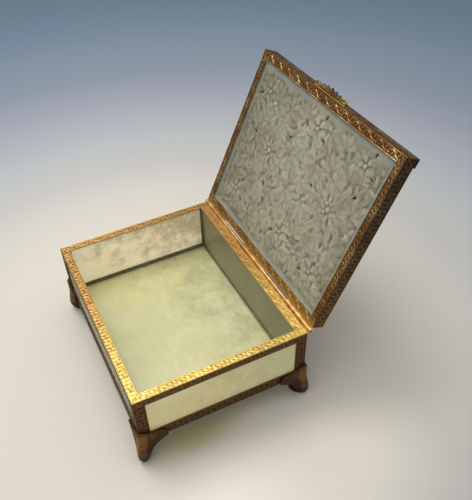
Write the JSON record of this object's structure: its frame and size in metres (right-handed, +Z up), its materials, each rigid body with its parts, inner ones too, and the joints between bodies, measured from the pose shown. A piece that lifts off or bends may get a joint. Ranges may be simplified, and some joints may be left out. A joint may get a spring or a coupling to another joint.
{
  "type": "jewelry box",
  "caption": "Footed jewelry box of jade plates in a chased gilt-brass frame, with a hinged lid that holds a carved openwork jade plaque.",
  "frame": {"origin": "middle of the box body on the surface that its feet stand on", "axes": "+X along the hinge towards the right end, -Y towards the front with the thumb piece, +Z up"},
  "size_m": [0.1572, 0.1782, 0.1723],
  "materials": {
    "chased_brass": "gilt, chased with leaf scrolls, dark in the recesses",
    "cast_brass": "cast, dark brown patina with rubbed gold high points",
    "plain_brass": "plain drawn strip and tube, rubbed",
    "plain_jade": "polished, translucent, cloudy pale green",
    "carved_jade": "carved in relief and pierced, satin, grey green"
  },
  "bodies": {
    "box": {"base_rail_back": "chased_brass", "base_rail_front": "chased_brass", "base_rail_left": "chased_brass", "base_rail_right": "chased_brass", "corner_post_back_left": "chased_brass", "corner_post_back_right": "chased_brass", "corner_post_front_left": "chased_brass", "corner_post_front_right": "chased_brass", "corner_strip_back_left": "plain_brass", "corner_strip_back_right": "plain_brass", "corner_strip_front_left": "plain_brass", "corner_strip_front_right": "plain_brass", "floor_strip_back": "plain_brass", "floor_strip_front": "plain_brass", "floor_strip_left": "plain_brass", "floor_strip_right": "plain_brass", "foot_back_left": "cast_brass", "foot_back_right": "cast_brass", "foot_front_left": "cast_brass", "foot_front_right": "cast_brass", "hinge_body_knuckle_left": "plain_brass", "hinge_body_knuckle_right": "plain_brass", "hinge_pin": "plain_brass", "jade_floor": "plain_jade", "jade_wall_back": "plain_jade", "jade_wall_front": "plain_jade", "jade_wall_left": "plain_jade", "jade_wall_right": "plain_jade", "rim_rail_back": "chased_brass", "rim_rail_front": "chased_brass", "rim_rail_left": "chased_brass", "rim_rail_right": "chased_brass"},
    "lid": {"hinge_lid_knuckle_left": "plain_brass", "hinge_lid_knuckle_middle": "plain_brass", "hinge_lid_knuckle_right": "plain_brass", "lid_bezel_back": "chased_brass", "lid_bezel_front": "chased_brass", "lid_bezel_left": "chased_brass", "lid_bezel_right": "chased_brass", "lid_front_bar": "chased_brass", "lid_plaque": "carved_jade", "lid_rail_back": "chased_brass", "lid_rail_front": "chased_brass", "lid_rail_left": "chased_brass", "lid_rail_right": "chased_brass", "thumb_piece": "cast_brass"}
  },
  "joints": [
    {"name": "lid_hinge", "type": "hinge", "parent": "box", "child": "lid", "pos_m": [0, 0.0593, 0.06006], "axis": [1, 0, 0], "range_deg": [0, 114.6]}
  ]
}
